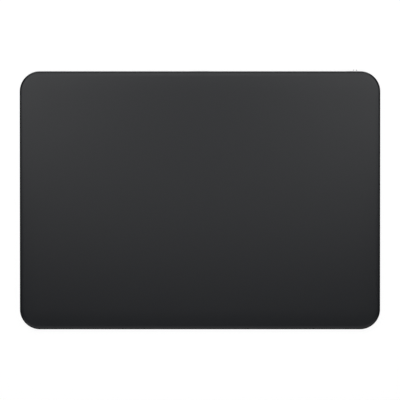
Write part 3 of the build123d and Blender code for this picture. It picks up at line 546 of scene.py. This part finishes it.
# %% Wound and striped finishes
WIRE, STRIP_PITCH, GAUGE_PITCH = 0.16, 0.5, 0.2
STRIP_RELIEF, GAUGE_RELIEF = 0.02, 0.01
COPPER, GAUGE_METAL = (0.62, 0.30, 0.10), (0.10, 0.06, 0.03)
wire_color = FINISHES["coil_copper"][0]
add_lines(finishes["coil_copper"], "Y", WIRE, "Round", wire_color, WIRE / 2)
cable, board = finishes["cable_film"], finishes["board_laminate"]
across, gauge, sensor = cable.copy(), cable.copy(), board.copy()
across.name, gauge.name, sensor.name = "cable_film_across", "gauge_film", "sensor_laminate"
add_lines(cable, "X", STRIP_PITCH, "Strip", COPPER, STRIP_RELIEF)
add_lines(across, "Y", STRIP_PITCH, "Strip", COPPER, STRIP_RELIEF)
add_lines(gauge, "Y", GAUGE_PITCH, "Strip", GAUGE_METAL, GAUGE_RELIEF)
print("striped:", cable.name, across.name, gauge.name)

# %% [markdown]
# The circuit boards get their tracks and tinned dots, and only the dots are metal in view. The sensor
# board under the glass has its electrodes instead: square pads 4 mm apart, whose edges shine faintly
# through the solder mask. They are two sets of even lines, multiplied.

# %% Board finishes
PAD_PITCH, PAD_EDGE = 4.0, 0.12
TRACK_RELIEF, DOT_RELIEF = 0.03, 0.02
TRACK_GREEN, TIN = (0.035, 0.14, 0.075), (0.62, 0.62, 0.60)
board_tree = board.node_tree
board_pattern = group_node(board_tree, tracks_group)
link(board_tree, board_tree.nodes["place"], "Object", board_pattern, "Vector")
lay_over(board, board_pattern, "Tracks", TRACK_GREEN, TRACK_RELIEF)
lay_over(board, board_pattern, "Dots", TIN, DOT_RELIEF)
link(board_tree, board_pattern, "Dots", board_tree.nodes["Principled BSDF"], "Metallic")

sensor_tree = sensor.node_tree
pad_sides = sensor_tree.nodes.new("ShaderNodeSeparateXYZ")
pads = math_node(sensor_tree, "MULTIPLY")
link(sensor_tree, sensor_tree.nodes["place"], "Object", pad_sides, "Vector")
for socket, axis in enumerate("XY"):
    pad_lines = group_node(sensor_tree, lines_group, Pitch=PAD_PITCH * MM, Edge=PAD_EDGE)
    link(sensor_tree, pad_sides, axis, pad_lines, "Along")
    link(sensor_tree, pad_lines, "Strip", pads, socket)
lay_over(sensor, pads, "Value", TRACK_GREEN, TRACK_RELIEF)
print("boards:", board.name, sensor.name)

# %% [markdown]
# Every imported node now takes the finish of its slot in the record. The few with a finish of their own
# are named here. The nodes keep their meshes and their places.

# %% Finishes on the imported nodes
own_finish = {"switch_cable": across, "sensor_board": sensor}
for part in frame["record"]["subparts"]:
    node = frame["nodes"][part["node"]]
    finish = own_finish.get(part["node"], finishes[part["material_slot"]])
    node.data.materials.clear()
    node.data.materials.append(gauge if part["node"].startswith("strain_gauge") else finish)

# %% [markdown]
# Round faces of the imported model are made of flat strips, and the big tray shows them first. Its form
# could be modelled anew, but it is right already. A merged copy with smooth shading takes the strips
# away, and keeps edges crisp where two faces meet at more than a slight angle. A Weighted Normal
# modifier keeps large flat faces flat beside the narrow strips of a rounding.

# %% Finished pieces
SHARP = radians(28)
MERGE = 0.002 * MM
LARGE_FACES_FIRST = 100


def finish_piece(form, name, body, slot, *nodes):
    """Turn a bmesh into a piece that rides on a body and stands for its nodes."""
    mesh = bpy.data.meshes.new(name)
    form.to_mesh(mesh)
    form.free()
    if "custom_normal" in mesh.attributes:
        mesh.attributes.remove(mesh.attributes["custom_normal"])
    mesh.polygons.foreach_set("use_smooth", [True] * len(mesh.polygons))
    mesh.set_sharp_from_angle(angle=SHARP)
    mesh.materials.append(finishes[slot])
    piece = bpy.data.objects.new(name, mesh)
    scene.collection.objects.link(piece)
    level = piece.modifiers.new("level_faces", "WEIGHTED_NORMAL")
    level.weight = LARGE_FACES_FIRST
    level.keep_sharp = True
    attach(piece, body)
    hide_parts(*nodes)
    print(name, len(mesh.polygons), "faces on", body)
    return piece


def merged(node):
    """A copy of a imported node's mesh, its loose triangles joined up."""
    form = bmesh.new()
    form.from_mesh(frame["nodes"][node].data)
    bmesh.ops.remove_doubles(form, verts=form.verts, dist=MERGE)
    return form


finish_piece(merged("housing"), "tray_shell", "housing", "blasted_aluminium", "housing")

# %% [markdown]
# The touch glass is the face of the object, so it is modelled afresh with finer steps than the packed
# one has. It is made flat and level, where its outline is a plain rounded rectangle, and is laid on
# the wedge at the end. First a square metre is scaled to the sheet, rounded at its corners and given
# its thickness.

# %% Glass sheet
FRONT_HEIGHT, REAR_HEIGHT = 4.9 * MM, 10.9 * MM
CORNER, CORNER_STEPS = 8.9 * MM, 28
GLASS_THICKNESS = 1.3 * MM
slope = atan2(REAR_HEIGHT - FRONT_HEIGHT, DEPTH)
sloped_depth = hypot(REAR_HEIGHT - FRONT_HEIGHT, DEPTH)
glass_up = Vector((0, -sin(slope), cos(slope)))
onto_wedge = Matrix.Translation((0, 0, (FRONT_HEIGHT + REAR_HEIGHT) / 2)) @ Matrix.Rotation(slope, 4, "X")

glass = bmesh.new()
bmesh.ops.create_grid(glass, x_segments=1, y_segments=1, size=0.5)
bmesh.ops.scale(glass, vec=(WIDTH, sloped_depth, 1), verts=glass.verts)
bmesh.ops.bevel(
    glass, geom=glass.verts[:], affect="VERTICES", offset=CORNER, segments=CORNER_STEPS, profile=0.5,
    material=-1
)
bmesh.ops.solidify(glass, geom=glass.faces[:], thickness=GLASS_THICKNESS)
bmesh.ops.recalc_face_normals(glass, faces=glass.faces)
top_level = max(v.co.z for v in glass.verts)
bmesh.ops.translate(glass, vec=(0, 0, -top_level), verts=glass.verts)
print("sheet slopes", round(degrees(slope), 2), "degrees and has", len(glass.faces), "faces")

# %% [markdown]
# The top edge is ground down in a long soft roll. A bevel gives a round roll only, so the plate is
# stretched upwards first, bevelled, and pressed back to its height: the round becomes the flat quarter
# ellipse of the real edge. The lower edge is only broken, as on any cut glass.

# %% Rolled edge
ROLL_RUN, ROLL_DROP, ROLL_STEPS = 2.8 * MM, 0.78 * MM, 14
UNDER_BREAK, UNDER_STEPS = 0.12 * MM, 2
stretch = ROLL_RUN / ROLL_DROP
bmesh.ops.scale(glass, vec=(1, 1, stretch), verts=glass.verts)
top_edges = [e for e in glass.edges if all(abs(v.co.z) < MERGE for v in e.verts)]
bmesh.ops.bevel(
    glass, geom=top_edges, affect="EDGES", offset=ROLL_RUN, segments=ROLL_STEPS, profile=0.5, material=-1
)
bmesh.ops.scale(glass, vec=(1, 1, 1 / stretch), verts=glass.verts)
under = min(v.co.z for v in glass.verts)
under_edges = [e for e in glass.edges if all(abs(v.co.z - under) < MERGE for v in e.verts)]
bmesh.ops.bevel(
    glass, geom=under_edges, affect="EDGES", offset=UNDER_BREAK, segments=UNDER_STEPS, profile=0.5,
    material=-1
)
print("rolled edge:", len(top_edges), "edges in", ROLL_STEPS, "steps")

# %% [markdown]
# Inside the roll the glass still rises a hair, as ground and polished glass does. The rise is a few
# rings, set in one after another, and each is flatter than the last. Then the plate is tilted onto
# the wedge and becomes a piece that rides on the touch plate.

# %% Crown of the glass
CROWN_RUN, CROWN_DROP, CROWN_STEPS = 6.0 * MM, 0.14 * MM, 6
FACING_UP = 0.9
top_face = max(glass.faces, key=lambda f: f.calc_area() * (f.normal.z > FACING_UP))
above_break = [v for v in glass.verts if v.co.z > under + UNDER_BREAK]
bmesh.ops.translate(glass, vec=(0, 0, -CROWN_DROP), verts=above_break)
for step in range(CROWN_STEPS):
    # the odd numbers up to here add up to the square, so all climbs together make the whole drop
    climb = CROWN_DROP * (2 * (CROWN_STEPS - step) - 1) / CROWN_STEPS**2
    bmesh.ops.inset_region(
        glass, faces=[top_face], thickness=CROWN_RUN / CROWN_STEPS, depth=climb, use_even_offset=True
    )
bmesh.ops.transform(glass, matrix=onto_wedge, verts=glass.verts)
glass_piece = finish_piece(glass, "rolled_glass", "touch_plate", "coated_glass", "touch_glass")
print("glass", [round(side / MM, 2) for side in glass_piece.dimensions])

# %% [markdown]
# The face of the glass is etched to a satin, so that a finger slides on it, and the roll is polished.
# A second material would leave a hard line between the two. One material is used instead, which asks
# how level each place is: the more it leans, the less it blurs.

# %% Polished rim
POLISHED, STEEP, LEVEL = 0.14, 0.90, 0.995
satin = FINISHES["coated_glass"][1]
glass_tree = finishes["coated_glass"].node_tree
levelness = glass_tree.nodes.new("ShaderNodeVectorMath")
levelness.operation = "DOT_PRODUCT"
levelness.inputs[1].default_value = glass_up
polish = ramp_node(glass_tree, STEEP, LEVEL, POLISHED, satin)
link(glass_tree, glass_tree.nodes["place"], "Normal", levelness, 0)
link(glass_tree, levelness, "Value", polish, "Value")
link(glass_tree, polish, "Result", glass_tree.nodes["grain"], "Roughness")
print("roughness from", POLISHED, "on the roll to", satin, "on the face")

# %% [markdown]
# The small fittings that show are the feet, the charging socket and the switch. Their shapes are right
# already, so they only lose their flat strips.

# %% Small fittings
for corner in ("front_left", "front_right", "rear_left", "rear_right"):
    finish_piece(merged(f"foot_{corner}"), f"pad_{corner}", "housing", "foot_rubber", f"foot_{corner}")
finish_piece(merged("socket_shell"), "socket_sleeve", "housing", "socket_steel", "socket_shell")
finish_piece(merged("socket_tongue"), "socket_blade", "housing", "tongue_plastic", "socket_tongue")
finish_piece(merged("switch_knob"), "ridged_knob", "power_switch", "knob_metal", "switch_knob")

# %% [markdown]
# A line of soft foam keeps dust out between tray and glass. It stands a hair clear of the glass here,
# because two faces in one place flicker. Foam can't follow the glass down as a stiff piece would, so
# it rides on the tray.

# %% Foam gasket
HAIR_CLEAR = 0.012 * MM
foam = merged("dust_gasket")
levels = {v: v.co.dot(glass_up) for v in foam.verts}
lowest_level, highest_level = min(levels.values()), max(levels.values())
upper = [v for v, level in levels.items() if level > (lowest_level + highest_level) / 2]
bmesh.ops.translate(foam, vec=-glass_up * HAIR_CLEAR, verts=upper)
gasket = finish_piece(foam, "gasket_line", "housing", "gasket_foam", "dust_gasket")
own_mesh(gasket)

# %% [markdown]
# The colours are shown as they are, with no film look over them.

# %% Colour view
scene.view_settings.view_transform = "Standard"
